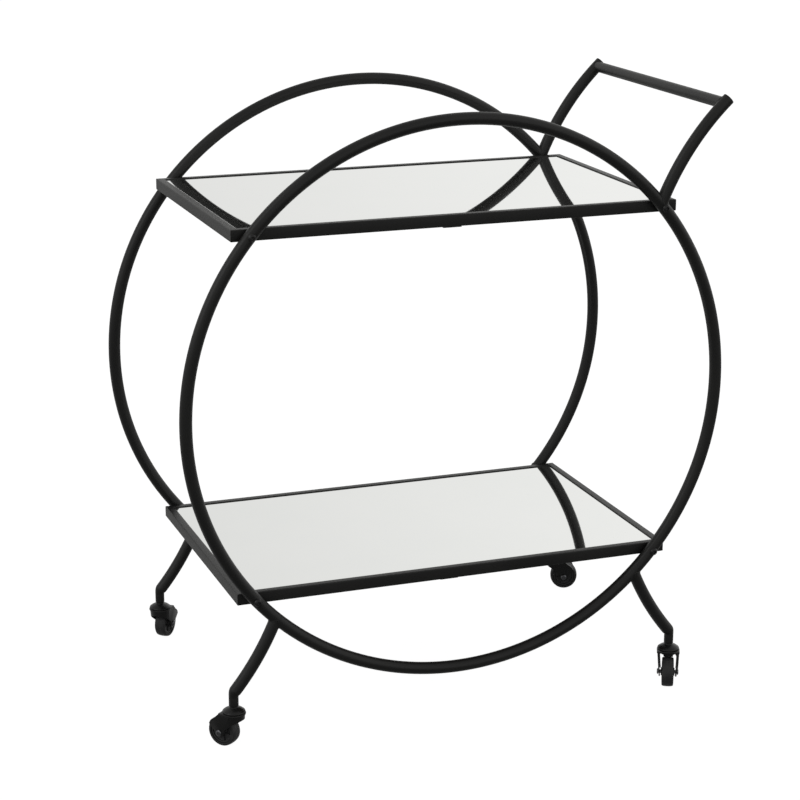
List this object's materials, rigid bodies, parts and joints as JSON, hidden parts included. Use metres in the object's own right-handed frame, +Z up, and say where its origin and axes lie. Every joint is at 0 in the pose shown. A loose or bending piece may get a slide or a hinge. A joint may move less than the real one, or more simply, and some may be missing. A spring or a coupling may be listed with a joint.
{
  "type": "bar cart",
  "caption": "Two-tier rolling bar cart with mirror shelves held between two round tube hoops, a raised push handle and swivel casters.",
  "frame": {"origin": "on the floor, below the middle of the two hoops", "axes": "+X towards the handle end, along the shelves; +Y from the front hoop to the rear hoop; +Z up"},
  "size_m": [0.736, 0.4449, 0.8004],
  "materials": {
    "powder_coat": "near-black satin powder coat on steel tube",
    "mirror_glass": "silvered glass, polished, with a ground edge",
    "backing_board": "brown hardboard",
    "bolt_steel": "black oxide steel, slightly shiny",
    "caster_steel": "black coated pressed steel",
    "zinc_steel": "bright zinc plate",
    "wheel_plastic": "black moulded nylon",
    "wheel_rubber": "black rubber tread"
  },
  "bodies": {
    "frame": {"hoop_front": "powder_coat", "hoop_rear": "powder_coat", "arm_front": "powder_coat", "arm_rear": "powder_coat", "handle_bar": "powder_coat", "leg_front_left": "powder_coat", "leg_front_right": "powder_coat", "leg_rear_left": "powder_coat", "leg_rear_right": "powder_coat", "stem_socket_front_left": "powder_coat", "stem_socket_front_right": "powder_coat", "stem_socket_rear_left": "powder_coat", "stem_socket_rear_right": "powder_coat", "lower_rail_front": "powder_coat", "lower_rail_right": "powder_coat", "lower_rail_rear": "powder_coat", "lower_rail_left": "powder_coat", "lower_mirror": "mirror_glass", "lower_backing_board": "backing_board", "lower_brace": "powder_coat", "upper_rail_front": "powder_coat", "upper_rail_right": "powder_coat", "upper_rail_rear": "powder_coat", "upper_rail_left": "powder_coat", "upper_mirror": "mirror_glass", "upper_backing_board": "backing_board", "upper_brace": "powder_coat", "bolt_lower_front_left": "bolt_steel", "bolt_lower_front_right": "bolt_steel", "bolt_lower_rear_left": "bolt_steel", "bolt_lower_rear_right": "bolt_steel", "bolt_upper_front_left": "bolt_steel", "bolt_upper_front_right": "bolt_steel", "bolt_upper_rear_left": "bolt_steel", "bolt_upper_rear_right": "bolt_steel", "caster_stem_front_left": "caster_steel", "caster_stem_front_right": "caster_steel", "caster_stem_rear_left": "caster_steel", "caster_stem_rear_right": "caster_steel", "caster_race_front_left": "caster_steel", "caster_race_front_right": "caster_steel", "caster_race_rear_left": "caster_steel", "caster_race_rear_right": "caster_steel"},
    "swivel_front_left": {"caster_fork_front_left": "caster_steel", "caster_axle_front_left": "zinc_steel"},
    "wheel_front_left": {"caster_hub_front_left": "wheel_plastic", "caster_tyre_front_left": "wheel_rubber"},
    "swivel_front_right": {"caster_fork_front_right": "caster_steel", "caster_axle_front_right": "zinc_steel"},
    "wheel_front_right": {"caster_hub_front_right": "wheel_plastic", "caster_tyre_front_right": "wheel_rubber"},
    "swivel_rear_left": {"caster_fork_rear_left": "caster_steel", "caster_axle_rear_left": "zinc_steel"},
    "wheel_rear_left": {"caster_hub_rear_left": "wheel_plastic", "caster_tyre_rear_left": "wheel_rubber"},
    "swivel_rear_right": {"caster_fork_rear_right": "caster_steel", "caster_axle_rear_right": "zinc_steel"},
    "wheel_rear_right": {"caster_hub_rear_right": "wheel_plastic", "caster_tyre_rear_right": "wheel_rubber"}
  },
  "joints": [
    {"name": "caster_swivel_front_left", "type": "hinge", "parent": "frame", "child": "swivel_front_left", "pos_m": [-0.30679, -0.1901, 0.045], "axis": [0, 0, 1], "continuous": true},
    {"name": "wheel_spin_front_left", "type": "hinge", "parent": "swivel_front_left", "child": "wheel_front_left", "pos_m": [-0.31643, -0.17861, 0.02], "axis": [-0.766, -0.6428, 0], "continuous": true},
    {"name": "caster_swivel_front_right", "type": "hinge", "parent": "frame", "child": "swivel_front_right", "pos_m": [0.30679, -0.1901, 0.045], "axis": [0, 0, 1], "continuous": true},
    {"name": "wheel_spin_front_right", "type": "hinge", "parent": "swivel_front_right", "child": "wheel_front_right", "pos_m": [0.30021, -0.20358, 0.02], "axis": [0.8988, -0.4384, 0], "continuous": true},
    {"name": "caster_swivel_rear_left", "type": "hinge", "parent": "frame", "child": "swivel_rear_left", "pos_m": [-0.30679, 0.1901, 0.045], "axis": [0, 0, 1], "continuous": true},
    {"name": "wheel_spin_rear_left", "type": "hinge", "parent": "swivel_rear_left", "child": "wheel_rear_left", "pos_m": [-0.29714, 0.20159, 0.02], "axis": [-0.766, 0.6428, 0], "continuous": true},
    {"name": "caster_swivel_rear_right", "type": "hinge", "parent": "frame", "child": "swivel_rear_right", "pos_m": [0.30679, 0.1901, 0.045], "axis": [0, 0, 1], "continuous": true},
    {"name": "wheel_spin_rear_right", "type": "hinge", "parent": "swivel_rear_right", "child": "wheel_rear_right", "pos_m": [0.3206, 0.18424, 0.02], "axis": [0.3907, 0.9205, 0], "continuous": true}
  ]
}
